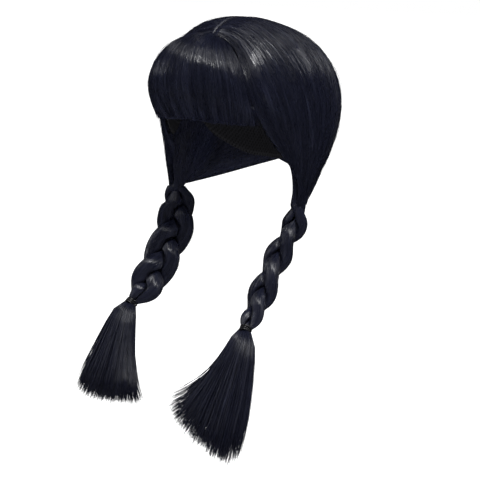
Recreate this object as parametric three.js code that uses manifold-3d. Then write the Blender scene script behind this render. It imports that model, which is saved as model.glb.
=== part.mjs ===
// A black wig with a full fringe, a centre parting and two plaits with brushed-out ends, in millimetres.
// +Z is up and the face looks along -Y, so the wearer's left is +X. The origin is the inside top of the cap,
// where the crown of the head meets it. Each length in a table is a share of the size named beside it.
import * as THREE from "three";
import { mergeVertices } from "three/addons/utils/BufferGeometryUtils.js";
import Module from "manifold-3d";

const wasm = await Module();
wasm.setup();

// Driving dimensions.
const clearance = 0.3;
const cutGap = 0.45;
const capToHair = 0.9;
const overlap = 1;
const weldDistance = 1e-3;
const goldenAngle = Math.PI * (3 - Math.sqrt(5));

const head = {
  halfWidth: 76,
  front: 96,
  back: 98,
  dome: 106,
  neckLevel: 205,
  neckTaper: 0.24,
  levels: 12,
  firstFall: 0.05,
  lastFall: 2.5,
};

const cap = { wall: 1.6, frontSeam: 48, columns: 30, rows: 9, topShare: 0.5 };

const hair = {
  halfWidth: 108,
  back: 140,
  length: 198,
  layer: 62,
  lowLayer: 30,
  lowFrom: 0.3,
  lowTo: 0.75,
  gatherFrom: 0.5,
  edge: 8,
  columns: 18,
  rows: 12,
};

const seam = { width: 2.4, sunk: 1.5, depth: 16, steps: 26 };

const fringe = {
  length: 84,
  arch: 8,
  archTurns: 1.4,
  halfAngle: 57,
  standOff: 4,
  middle: 64,
  reach: 45,
  apexHalfWidth: 13,
  apexHeight: 4,
  apexFall: 8,
  topHalfWidth: 56,
  topFront: 114,
  topHeight: 16,
  topEdgeHalfWidth: 43,
  topEdgeFront: 60,
  bulgeHalfWidth: 118,
  bulgeFront: 146,
  bulgeDrop: 36,
  bulgeEdgeHalfWidth: 77,
  bulgeEdgeFront: 124,
  bulgeEdgeDrop: 50,
  thickness: 16,
  tipThickness: 6,
  locks: 15,
  lockDepth: 1.6,
  lockDrop: 3,
  lockFrom: 0.3,
  thinFrom: 0.45,
  dropFrom: 0.8,
  pointsPerLock: 2,
  rows: 8,
};

const plait = {
  length: 155,
  swing: 9.6,
  weave: 6.4,
  strandHalfWidth: 12,
  strandHalfDepth: 9.4,
  pitch: 108,
  start: 0.23,
  twist: -20,
  strands: 3,
  coveredFullness: 0.82,
  uprightFor: 0.2,
  gap: 1.2,
  sides: 10,
  steps: 30,
};

const root = {
  out: 88,
  behind: 5,
  halfWidth: 14,
  halfDepth: 13,
};

const tie = { wire: 1.1, winds: 3, web: 0.4, radius: 5.2, sides: 12, arcSteps: 3 };

const tail = {
  length: 132,
  halfAngle: 16,
  halfDepth: 20,
  neck: 4,
  straightFor: 12,
  locks: 12,
  lockSides: 6,
  lockSteps: 3,
  rootRadius: 2.6,
  tipRadius: 8.6,
  flare: 0.8,
  bendAt: 0.6,
};

// The cap's cut edge, round from the middle of the forehead to the nape: the turn from the front as a share of
// half a circle, and how far down the edge lies as a share of the dome's height.
const capEdge = [
  { turn: 0, drop: 0.47 },
  { turn: 0.22, drop: 0.56 },
  { turn: 0.36, drop: 0.93 },
  { turn: 0.43, drop: 1.13 },
  { turn: 0.5, drop: 0.98 },
  { turn: 0.58, drop: 0.96 },
  { turn: 0.68, drop: 1.22 },
  { turn: 0.84, drop: 1.44 },
  { turn: 1, drop: 1.48 },
];

// How the hair of one side falls, in rows along the parting from the fringe to the nape. Each row is one flow of
// hair: it leaves the parting at start, is carried out by over and side, and comes by under into the plait's root.
// across is a share of hair.halfWidth, back of hair.back and down of hair.length, and all count from the crown.
const flows = [
  { at: 0, startBack: -0.33, startDown: -0.02, overAcross: 0.59, overBack: -0.17, overDown: 0.06,
    sideAcross: 0.56, sideBack: -1.14, sideDown: 0.42, underAcross: 0.95, underBack: 0.3, underDown: 0.71 },
  { at: 0.12, startBack: -0.24, startDown: -0.06, overAcross: 0.62, overBack: -0.18, overDown: -0.08,
    sideAcross: 1.07, sideBack: -0.48, sideDown: 0.34, underAcross: 0.89, underBack: 0, underDown: 0.72 },
  { at: 0.28, startBack: -0.04, startDown: -0.105, overAcross: 0.7, overBack: -0.08, overDown: -0.115,
    sideAcross: 1.34, sideBack: 0.07, sideDown: 0.33, underAcross: 0.9, underBack: 0.02, underDown: 0.75 },
  { at: 0.45, startBack: 0.32, startDown: -0.085, overAcross: 0.62, overBack: 0.33, overDown: -0.11,
    sideAcross: 1.36, sideBack: 0.45, sideDown: 0.3, underAcross: 0.83, underBack: 0.16, underDown: 0.74 },
  { at: 0.63, startBack: 0.75, startDown: 0.03, overAcross: 0.84, overBack: 0.73, overDown: 0.02,
    sideAcross: 0.99, sideBack: 1.06, sideDown: 0.56, underAcross: 0.76, underBack: 0.25, underDown: 0.76 },
  { at: 0.81, startBack: 1.03, startDown: 0.37, overAcross: 0.61, overBack: 1.06, overDown: 0.48,
    sideAcross: 0.68, sideBack: 0.84, sideDown: 0.69, underAcross: 0.82, underBack: 0.32, underDown: 0.86 },
  { at: 1, startBack: 0.74, startDown: 0.81, overAcross: 0.49, overBack: 0.78, overDown: 0.9,
    sideAcross: 0.7, sideBack: 0.38, sideDown: 0.95, underAcross: 0.76, underBack: 0.26, underDown: 0.95 },
];

// The plait's middle line, from its root to its tie, in shares of plait.length: how far it has come in towards
// the neck, forward and down.
const plaitRoute = [
  { in: 0, forward: 0, drop: 0 },
  { in: 0.015, forward: 0.02, drop: 0.1 },
  { in: 0.058, forward: 0.12, drop: 0.26 },
  { in: 0.065, forward: 0.3, drop: 0.465 },
  { in: 0.058, forward: 0.48, drop: 0.66 },
  { in: 0.04, forward: 0.626, drop: 0.75 },
];

// The plait's thickness along its length, as a share of its full size.
const plaitTaper = [
  { at: 0, size: 0.64 },
  { at: 0.16, size: 0.86 },
  { at: 0.55, size: 0.96 },
  { at: 0.82, size: 0.84 },
  { at: 1, size: 0.3 },
];

// The two brushed-out ends: the way each falls from its tie, in parts of one direction, and its spread and
// length as shares of the tail's sizes.
const tails = [
  { name: "left", inwards: 0.1, forward: 0.5, drop: 0.86, spread: 1.06, length: 1.06 },
  { name: "right", inwards: 0.07, forward: 0.5, drop: 0.86, spread: 1.16, length: 0.92 },
];

const finishes = {
  hair: { color: 0x07080c, roughness: 0.38, metalness: 0 },
  cap: { color: 0x0c0c0e, roughness: 0.85, metalness: 0 },
  seam: { color: 0x2a2a2e, roughness: 0.7, metalness: 0 },
  tie: { color: 0x060606, roughness: 0.5, metalness: 0 },
};

const mix = THREE.MathUtils.lerp;
const degrees = THREE.MathUtils.degToRad;
const vector = (x, y, z) => new THREE.Vector3(x, y, z);

function smooth(low, high, value) {
  return THREE.MathUtils.smoothstep(value, low, high);
}

// Reads one column of a table at a place between its rows, on a smooth curve through them.
function readTable(rows, key, column, place) {
  let i = 0;
  while (i < rows.length - 2 && place > rows[i + 1][key]) i += 1;
  const span = rows[i + 1][key] - rows[i][key];
  const t = THREE.MathUtils.clamp((place - rows[i][key]) / span, 0, 1);
  const slope = (k) => {
    const a = rows[Math.max(k - 1, 0)];
    const b = rows[Math.min(k + 1, rows.length - 1)];
    return (b[column] - a[column]) / (b[key] - a[key]);
  };
  const [p, q] = [rows[i][column], rows[i + 1][column]];
  const [m, n] = [slope(i) * span, slope(i + 1) * span];
  const t2 = t * t;
  const t3 = t2 * t;
  return (2 * t3 - 3 * t2 + 1) * p + (t3 - 2 * t2 + t) * m + (3 * t2 - 2 * t3) * q + (t3 - t2) * n;
}

// A smooth curve pulled along by its inner points, as a function of the share of the way along it.
function bezier(points) {
  return (along) => {
    let left = points;
    while (left.length > 1) left = left.slice(1).map((point, i) => left[i].clone().lerp(point, along));
    return left[0].clone();
  };
}

// A closed body lofted through rings of equally many points. An end is closed by a fan from its middle, or,
// on a flat crescent, by a strip between its two long sides.
function loft(rings, closing = "fan") {
  const count = rings[0].length;
  const points = rings.flat();
  const faces = [];
  for (let r = 0; r + 1 < rings.length; r += 1) {
    for (let i = 0; i < count; i += 1) {
      const [a, b] = [r * count + i, r * count + ((i + 1) % count)];
      faces.push(a, b, b + count, a, b + count, a + count);
    }
  }
  for (const [r, turned] of [[0, true], [rings.length - 1, false]]) {
    const start = r * count;
    const add = (a, b, c) => (turned ? faces.push(a, c, b) : faces.push(a, b, c));
    if (closing === "fan") {
      const middle = points.length;
      points.push(rings[r].reduce((sum, p) => sum.add(p), vector(0, 0, 0)).divideScalar(count));
      for (let i = 0; i < count; i += 1) add(start + i, start + ((i + 1) % count), middle);
    } else {
      for (let i = 0; i < count / 2 - 1; i += 1) {
        const [a, b, c, d] = [i, i + 1, count - 2 - i, count - 1 - i].map((k) => start + k);
        add(a, b, c);
        add(a, c, d);
      }
    }
  }
  const body = new THREE.BufferGeometry();
  body.setAttribute("position", new THREE.Float32BufferAttribute(points.flatMap((p) => [p.x, p.y, p.z]), 3));
  body.setIndex(faces);
  return body;
}

function toSolid(geometry) {
  const bare = geometry.clone();
  bare.deleteAttribute("normal");
  bare.deleteAttribute("uv");
  const merged = mergeVertices(bare, weldDistance);
  const corners = merged.index.array;
  const kept = [];
  for (let i = 0; i < corners.length; i += 3) {
    const [a, b, c] = [corners[i], corners[i + 1], corners[i + 2]];
    if (a !== b && b !== c && c !== a) kept.push(a, b, c);
  }
  const shape = () =>
    new wasm.Manifold(
      new wasm.Mesh({
        numProp: 3,
        vertProperties: merged.attributes.position.array,
        triVerts: new Uint32Array(kept),
      })
    );
  const solid = shape();
  if (solid.volume() > 0) return solid;
  for (let i = 0; i < kept.length; i += 3) [kept[i + 1], kept[i + 2]] = [kept[i + 2], kept[i + 1]];
  return shape();
}

// The largest body of a solid, so that no crumb of a cut stays behind.
function mainBody(solid) {
  return solid.decompose().sort((a, b) => b.volume() - a.volume())[0];
}

function toGeometry(solid) {
  const { vertProperties, triVerts } = solid.getMesh();
  const geometry = new THREE.BufferGeometry();
  geometry.setAttribute("position", new THREE.Float32BufferAttribute(vertProperties, 3));
  geometry.setIndex(Array.from(triVerts));
  const faceted = geometry.toNonIndexed();
  faceted.computeVertexNormals();
  return faceted;
}

// A solid together with its copies moved a little along each axis, to cut a neighbour with a gap.
function grown(solid, gap) {
  const moves = [[1, 0, 0], [-1, 0, 0], [0, 1, 0], [0, -1, 0], [0, 0, 1], [0, 0, -1]];
  return moves.reduce(
    (sum, move) => sum.add(solid.translate(move.map((step) => step * gap))),
    solid
  );
}

// A point of the head, or of a surface lying grow outside it. turn runs round from the forehead, towards the
// wearer's left, and fall runs down over the dome, a right angle reaching its widest level.
function headPoint(turn, fall, grow) {
  const widest = Math.PI / 2;
  const below = Math.max(0, fall - widest);
  const reach = (head.neckLevel - head.dome) / head.dome;
  const share = below > 0 ? 1 - head.neckTaper * (below / reach) ** 2 : Math.sin(fall);
  const height = below > 0 ? -head.dome * (1 + below) : grow - (head.dome + grow) * (1 - Math.cos(fall));
  const depth = Math.cos(turn) > 0 ? head.front : head.back;
  return vector(
    (head.halfWidth + grow) * share * Math.sin(turn),
    -(depth + grow) * share * Math.cos(turn),
    height
  );
}

// The fall that reaches a given drop below the crown, as a share of the dome's height.
function fallAt(drop) {
  return drop < 1 ? Math.acos(1 - drop) : Math.PI / 2 + (drop - 1);
}

const headMiddle = vector(0, 0, -head.dome);

function ringOfHead(fall, grow, columns) {
  return Array.from({ length: columns }, (_, i) => {
    const turn = (2 * Math.PI * i) / columns;
    return headPoint(turn, typeof fall === "function" ? fall(turn) : fall, grow);
  });
}

// The head with the cap and a gap round it, which every piece of hair is cut by.
function headBlock() {
  const rings = Array.from({ length: head.levels + 1 }, (_, i) => {
    const fall = mix(head.firstFall, head.lastFall, i / head.levels);
    return ringOfHead(fall, cap.wall + capToHair, cap.columns);
  });
  return toSolid(loft(rings));
}

function makeCap() {
  const edge = (turn) => {
    const round = Math.abs(((turn + Math.PI) % (2 * Math.PI)) - Math.PI) / Math.PI;
    return fallAt(readTable(capEdge, "turn", "drop", round));
  };
  const rings = (grow) =>
    Array.from({ length: cap.rows }, (_, r) => {
      const share = (r + cap.topShare) / (cap.rows - 1 + cap.topShare);
      return ringOfHead((turn) => edge(turn) * share, grow, cap.columns);
    });
  return toSolid(loft([...rings(cap.wall), ...rings(0).reverse()]));
}

// The plait's root: the round bundle that one side's hair is gathered into.
const rootCentre = vector(root.out, root.behind, -hair.length);

function rootPoint(at) {
  const angle = Math.PI * at;
  return rootCentre
    .clone()
    .add(vector(root.halfDepth * Math.sin(angle), -root.halfWidth * Math.cos(angle), 0));
}

const partingHalfWidth = seam.width / 2 + clearance;

// One flow of hair on the outside of the wearer's left side.
function flowCurve(at) {
  const read = (column) => readTable(flows, "at", column, at);
  const place = (name, x) =>
    vector(x, read(`${name}Back`) * hair.back, -read(`${name}Down`) * hair.length);
  const pull = (name) => place(name, read(`${name}Across`) * hair.halfWidth);
  return bezier([
    place("start", partingHalfWidth),
    pull("over"),
    pull("side"),
    pull("under"),
    rootPoint(at),
  ]);
}

// The inside of the same flow, a layer of hair further in, which closes the bundle at the root.
function innerPoint(outer, at, along) {
  const full = Math.sin(Math.PI * at);
  const fullLayer = mix(hair.layer, hair.lowLayer, smooth(hair.lowFrom, hair.lowTo, along));
  const layer = mix(hair.edge, fullLayer, Math.sqrt(full));
  const inwards = headMiddle.clone().sub(outer).setLength(layer);
  inwards.x = Math.max(inwards.x, partingHalfWidth - outer.x);
  const closing = vector(-2 * root.halfDepth * full, 0, 0);
  return outer.clone().add(inwards.lerp(closing, smooth(hair.gatherFrom, 1, along)));
}

function makeSide() {
  const places = Array.from({ length: hair.columns + 1 }, (_, i) => i / hair.columns);
  const curves = places.map(flowCurve);
  const rings = Array.from({ length: hair.rows + 1 }, (_, r) => {
    const along = r / hair.rows;
    const outer = curves.map((curve) => curve(along));
    const inner = outer.map((point, i) => innerPoint(point, places[i], along));
    return [...outer, ...inner.reverse()];
  });
  return toSolid(loft(rings, "strip"));
}

// The sewn seam that stands in the parting from the fringe to the nape.
function makeSeam() {
  const rings = Array.from({ length: seam.steps + 1 }, (_, i) => {
    const start = flowCurve(i / seam.steps)(0);
    const inwards = headMiddle.clone().setX(start.x).sub(start).normalize();
    const corner = (side, depth) =>
      start.clone().addScaledVector(inwards, depth).setX((side * seam.width) / 2);
    return [
      corner(1, seam.sunk),
      corner(-1, seam.sunk),
      corner(-1, seam.depth),
      corner(1, seam.depth),
    ];
  });
  return toSolid(loft(rings));
}

// One flow of the fringe, from the parting's front end to the brow. side runs from -1 to 1.
function fringeCurve(side) {
  const turn = degrees(fringe.halfAngle) * side;
  const edge = side * side;
  const corner = edge * edge;
  const out = cap.wall + capToHair + fringe.standOff;
  const arch = fringe.arch * Math.sin(fringe.archTurns * Math.abs(turn)) ** 2;
  const round = (halfWidth, front, height) =>
    vector(halfWidth * Math.sin(turn), -front * Math.cos(turn), height);
  return bezier([
    vector(fringe.apexHalfWidth * side, -fringe.reach, fringe.apexHeight - fringe.apexFall * edge),
    vector(
      mix(fringe.topHalfWidth, fringe.topEdgeHalfWidth, edge) * Math.sin(turn),
      mix(-fringe.topFront, -fringe.topEdgeFront, edge),
      fringe.topHeight * (1 - edge)
    ),
    round(
      mix(fringe.bulgeHalfWidth, fringe.bulgeEdgeHalfWidth, corner),
      mix(fringe.bulgeFront, fringe.bulgeEdgeFront, corner),
      -mix(fringe.bulgeDrop, fringe.bulgeEdgeDrop, edge)
    ),
    round(head.halfWidth + out, head.front + out, -fringe.length - arch),
  ]);
}

const fringeMiddle = vector(0, 0, -fringe.middle);

function makeFringe() {
  const steps = fringe.locks * fringe.pointsPerLock;
  const places = Array.from({ length: steps + 1 }, (_, i) => (2 * i) / steps - 1);
  const curves = places.map(fringeCurve);
  const rings = Array.from({ length: fringe.rows + 1 }, (_, r) => {
    const along = r / fringe.rows;
    const outer = [];
    const inner = [];
    curves.forEach((curve, i) => {
      const point = curve(along);
      const lock = Math.abs(Math.sin((Math.PI * i) / fringe.pointsPerLock));
      const groove = fringe.lockDepth * (1 - lock) * smooth(fringe.lockFrom, 1, along);
      const thickness = mix(fringe.thickness, fringe.tipThickness, smooth(fringe.thinFrom, 1, along));
      const inwards = fringeMiddle.clone().sub(point).normalize();
      const drop = vector(0, 0, -fringe.lockDrop * lock * smooth(fringe.dropFrom, 1, along));
      outer.push(point.clone().addScaledVector(inwards, groove).add(drop));
      inner.push(point.clone().addScaledVector(inwards, thickness).add(drop));
    });
    return [...outer, ...inner.reverse()];
  });
  return toSolid(loft(rings, "strip"));
}

// The plait's middle line, from the root's lower face.
const plaitLine = new THREE.CatmullRomCurve3(
  plaitRoute.map((row) =>
    vector(
      rootCentre.x - row.in * plait.length,
      rootCentre.y - row.forward * plait.length,
      rootCentre.z - clearance - row.drop * plait.length
    )
  ),
  false,
  "centripetal"
);
const plaitLength = plaitLine.getLength();

// The two directions across a plait that runs along the given way: its flat side's width, and its thickness.
function across(way) {
  const twist = degrees(plait.twist);
  const depth = way.clone().cross(vector(Math.cos(twist), Math.sin(twist), 0)).normalize();
  return { wide: depth.clone().cross(way).normalize(), depth };
}

// Where a strand's middle lies across the plait: it swings from edge to edge, over the middle and back under.
function strandTurn(strand, along) {
  return 2 * Math.PI * ((along * plaitLength) / plait.pitch + strand / plait.strands + plait.start);
}

function strandOffset(turn) {
  return new THREE.Vector2(plait.swing * Math.sin(turn), -plait.weave * Math.sin(2 * turn));
}

// A strand's section at a share of the plait's length. It is a full lobe, pressed flat where it meets the others.
function strandRing(strand, along) {
  const size = readTable(plaitTaper, "at", "size", along);
  const leaning = smooth(0, plait.uprightFor, along);
  const way = vector(0, 0, -1).lerp(plaitLine.getTangentAt(along), leaning).normalize();
  const { wide, depth } = across(way);
  const turns = Array.from({ length: plait.strands }, (_, i) => strandTurn(i, along));
  const middle = strandOffset(turns[strand]);
  const others = turns.filter((_, i) => i !== strand).map(strandOffset);
  const fullness = mix(plait.coveredFullness, 1, Math.sin(turns[strand]) ** 2);
  return Array.from({ length: plait.sides }, (_, k) => {
    const angle = (2 * Math.PI * k) / plait.sides;
    const ray = new THREE.Vector2(Math.cos(angle), Math.sin(angle));
    let reach = fullness / Math.hypot(ray.x / plait.strandHalfWidth, ray.y / plait.strandHalfDepth);
    for (const other of others) {
      const apart = other.clone().sub(middle);
      const facing = ray.dot(apart) / apart.length();
      const room = apart.length() / 2 - plait.gap / (2 * size);
      if (facing > 0) reach = Math.min(reach, room / Math.sqrt(facing));
    }
    const offset = middle.clone().addScaledVector(ray, reach).multiplyScalar(size);
    return plaitLine.getPointAt(along).addScaledVector(wide, offset.x).addScaledVector(depth, offset.y);
  });
}

function makeStrand(strand) {
  const rings = Array.from({ length: plait.steps + 1 }, (_, i) => strandRing(strand, i / plait.steps));
  return toSolid(loft(rings));
}

// A tube of round sections through the points of a line, each with its own radius. Its first section can be
// set square to another direction than the line's own.
function tube(points, radii, sides, firstWay) {
  const last = points.length - 1;
  const rings = points.map((point, i) => {
    const along = points[Math.min(i + 1, last)].clone().sub(points[Math.max(i - 1, 0)]).normalize();
    const way = i === 0 && firstWay ? firstWay : along;
    const side = vector(1, 0, 0).addScaledVector(way, -way.x).normalize();
    const other = way.clone().cross(side);
    return Array.from({ length: sides }, (_, k) => {
      const angle = (2 * Math.PI * (k + 0.5)) / sides;
      return point
        .clone()
        .addScaledVector(side, radii[i] * Math.cos(angle))
        .addScaledVector(other, radii[i] * Math.sin(angle));
    });
  });
  return toSolid(loft(rings));
}

// The tie's place: just past the end of the strands, round the neck of the brushed-out end.
const tieDirection = plaitLine.getTangentAt(1);
const tiePoint = plaitLine.getPointAt(1).addScaledVector(tieDirection, clearance);
const tieLength = 2 * tie.wire * tie.winds;

function makeTie() {
  const profile = [];
  for (let wind = 0; wind < tie.winds; wind += 1) {
    for (let step = 0; step <= tie.arcSteps; step += 1) {
      const angle = Math.PI * (step / tie.arcSteps);
      const middle = tie.wire * (2 * wind + 1);
      profile.push(
        new THREE.Vector2(
          tie.radius + tie.wire * (tie.web + Math.sin(angle)),
          middle - tie.wire * Math.cos(angle)
        )
      );
    }
  }
  profile.push(new THREE.Vector2(tie.radius, tieLength), new THREE.Vector2(tie.radius, 0));
  profile.push(profile[0].clone());
  return toSolid(new THREE.LatheGeometry(profile, tie.sides));
}

// The brushed-out end: locks that spread from a neck in the tie, set evenly over the fan.
function makeTail(shape) {
  const { wide, depth } = across(tieDirection);
  const neckRadius = tie.radius - clearance;
  const tieEnd = tiePoint.clone().addScaledVector(tieDirection, tieLength);
  const neckEnd = tieEnd.clone().addScaledVector(tieDirection, tail.neck);
  const fall = vector(-shape.inwards, -shape.forward, -shape.drop).setLength(tail.length * shape.length);
  const facing = fall.clone().cross(vector(1, 0, 0)).normalize();
  let solid = tube([tiePoint, neckEnd], [neckRadius, neckRadius], 2 * tail.lockSides, tieDirection);
  for (let lock = 0; lock < tail.locks; lock += 1) {
    const reach = Math.sqrt((lock + 0.5) / tail.locks);
    const [sideways, deep] = [reach * Math.cos(goldenAngle * lock), reach * Math.sin(goldenAngle * lock)];
    const start = tieEnd
      .clone()
      .addScaledVector(tieDirection, overlap)
      .addScaledVector(wide, (sideways * neckRadius) / 2)
      .addScaledVector(depth, (deep * neckRadius) / 2);
    const tip = tiePoint
      .clone()
      .add(fall.clone().applyAxisAngle(facing, -degrees(tail.halfAngle) * shape.spread * sideways))
      .addScaledVector(facing, deep * (tail.halfDepth - tail.tipRadius / 2));
    const route = bezier([
      start,
      start.clone().addScaledVector(tieDirection, tail.straightFor),
      start.clone().lerp(tip, tail.bendAt),
      tip,
    ]);
    const steps = Array.from({ length: tail.lockSteps + 1 }, (_, i) => i / tail.lockSteps);
    const radii = steps.map((along) => mix(tail.rootRadius, tail.tipRadius, along ** tail.flare));
    solid = solid.add(tube(steps.map(route), radii, tail.lockSides));
  }
  return solid;
}

// Assembly: what is made for the wearer's left is mirrored for the right.
const wig = new THREE.Group();

function addPiece(name, solid, finish) {
  const mesh = new THREE.Mesh(toGeometry(solid), new THREE.MeshStandardMaterial(finish));
  mesh.name = name;
  wig.add(mesh);
}

const block = headBlock();
const leftSide = mainBody(makeSide().subtract(block));
const rightSide = leftSide.mirror([1, 0, 0]);
const seamSolid = mainBody(makeSeam().subtract(block));
const sidesWithGap = grown(leftSide, cutGap).add(grown(rightSide, cutGap));
const fringeSolid = mainBody(
  makeFringe().subtract(block).subtract(sidesWithGap).subtract(grown(seamSolid, cutGap))
);

// The cap's front band and its crown meet in a seam that runs over the head from ear to ear.
const capSolid = makeCap();
addPiece("cap_front", capSolid.trimByPlane([0, -1, 0], cap.frontSeam + clearance / 2), finishes.cap);
addPiece("cap_crown", capSolid.trimByPlane([0, 1, 0], clearance / 2 - cap.frontSeam), finishes.cap);
addPiece("parting_seam", seamSolid, finishes.seam);
addPiece("fringe", fringeSolid, finishes.hair);
addPiece("side_hair_left", leftSide, finishes.hair);
addPiece("side_hair_right", rightSide, finishes.hair);

for (const shape of tails) {
  const placed = (solid) => (shape.name === "right" ? solid.mirror([1, 0, 0]) : solid);
  for (let strand = 0; strand < plait.strands; strand += 1) {
    addPiece(`plait_${shape.name}_strand_${strand + 1}`, placed(makeStrand(strand)), finishes.hair);
  }
  const turn = new THREE.Quaternion().setFromUnitVectors(vector(0, 1, 0), tieDirection);
  const place = new THREE.Matrix4().compose(tiePoint, turn, vector(1, 1, 1));
  addPiece(`tie_${shape.name}`, placed(makeTie().transform(place.elements)), finishes.tie);
  addPiece(`tail_${shape.name}`, placed(makeTail(shape)), finishes.hair);
}

export default wig;
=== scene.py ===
# A black wig with a full fringe, a centre parting and two plaits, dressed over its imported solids.
# Shapes are worked out in millimetres in the row frame (+Z up, the fringe is in front, along -Y) and turned
# into metres when a mesh is made. Hair is laid along the same flows as the solids.
import math

import bpy
import numpy as np
from mathutils import Matrix, Vector


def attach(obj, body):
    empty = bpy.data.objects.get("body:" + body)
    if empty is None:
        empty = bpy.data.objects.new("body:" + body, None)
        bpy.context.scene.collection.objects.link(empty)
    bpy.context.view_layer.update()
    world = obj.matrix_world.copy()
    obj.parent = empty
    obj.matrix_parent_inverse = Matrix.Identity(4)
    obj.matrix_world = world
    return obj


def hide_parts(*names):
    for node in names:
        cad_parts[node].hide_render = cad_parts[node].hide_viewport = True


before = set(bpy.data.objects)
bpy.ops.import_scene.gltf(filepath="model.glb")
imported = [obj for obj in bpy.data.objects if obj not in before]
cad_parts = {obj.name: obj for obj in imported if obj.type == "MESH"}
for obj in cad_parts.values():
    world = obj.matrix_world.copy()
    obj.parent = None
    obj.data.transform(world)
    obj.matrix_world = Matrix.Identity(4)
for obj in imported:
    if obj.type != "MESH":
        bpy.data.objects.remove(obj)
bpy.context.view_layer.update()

metres = 0.001
decimetres = 0.01

# sizes shared by several pieces, in millimetres; the hollow is what the cap goes over
hollow = {"halfWidth": 76, "front": 96, "back": 98, "dome": 106, "neckLevel": 205, "neckTaper": 0.24}
capWall = 1.6
capToHair = 0.9
clearance = 0.3
hairHalfWidth = 108
hairBack = 140
hairLength = 198
seamWidth = 2.4
partHalfWidth = seamWidth / 2 + clearance

# the map "flow" that every mesh has, in decimetres: u runs across the hair and v along it
flowMap = {"endRun": 0.2, "hairSpread": 4, "hairWidth": 0.006}


def clamp(value, low=0.0, high=1.0):
    return np.minimum(np.maximum(value, low), high)


def smooth(low, high, value):
    t = clamp((np.asarray(value, float) - low) / (high - low))
    return t * t * (3 - 2 * t)


def mix(a, b, share):
    return a + (b - a) * share


def unit(v):
    return v / np.maximum(np.linalg.norm(v, axis=-1, keepdims=True), 1e-9)


def xyz(x, y, z):
    return np.stack(np.broadcast_arrays(np.asarray(x, float), y, z), axis=-1)


# one column of a table, on a smooth curve through its rows; the first column says where each row stands
def readTable(rows, column, place):
    keys, values = rows[:, 0], rows[:, column]
    last = len(keys) - 1
    before = np.maximum(np.arange(last + 1) - 1, 0)
    after = np.minimum(np.arange(last + 1) + 1, last)
    slope = (values[after] - values[before]) / (keys[after] - keys[before])
    i = np.clip(np.searchsorted(keys, place, side="left") - 1, 0, last - 1)
    span = keys[i + 1] - keys[i]
    t = clamp((place - keys[i]) / span)
    t2, t3 = t * t, t * t * t
    return ((2 * t3 - 3 * t2 + 1) * values[i] + (t3 - 2 * t2 + t) * slope[i] * span
            + (3 * t2 - 2 * t3) * values[i + 1] + (t3 - t2) * slope[i + 1] * span)


# a curve pulled along by its inner points; each point is an array of (..., 3) and along fits beside it
def bezier(points, along):
    share = np.asarray(along, float)[..., None]
    while len(points) > 1:
        points = [mix(a, b, share) for a, b in zip(points, points[1:])]
    return points[0]


# smooth bumps over two coordinates, made of a few waves
def waves(rng, u, v, uScale, vScale, count=6):
    total = 0
    for _ in range(count):
        total = total + np.sin(u * uScale * rng.uniform(0.5, 1.5) + v * vScale * rng.uniform(-1, 1)
                               + rng.uniform(0, 2 * math.pi))
    return total / math.sqrt(count)


# how a loose hair thins towards both its ends
def hairTaper(share):
    thinnest, ends = 0.15, 0.03
    return thinnest + (1 - thinnest) * np.sin(math.pi * clamp(share, ends, 1 - ends)) ** 0.5


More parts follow.
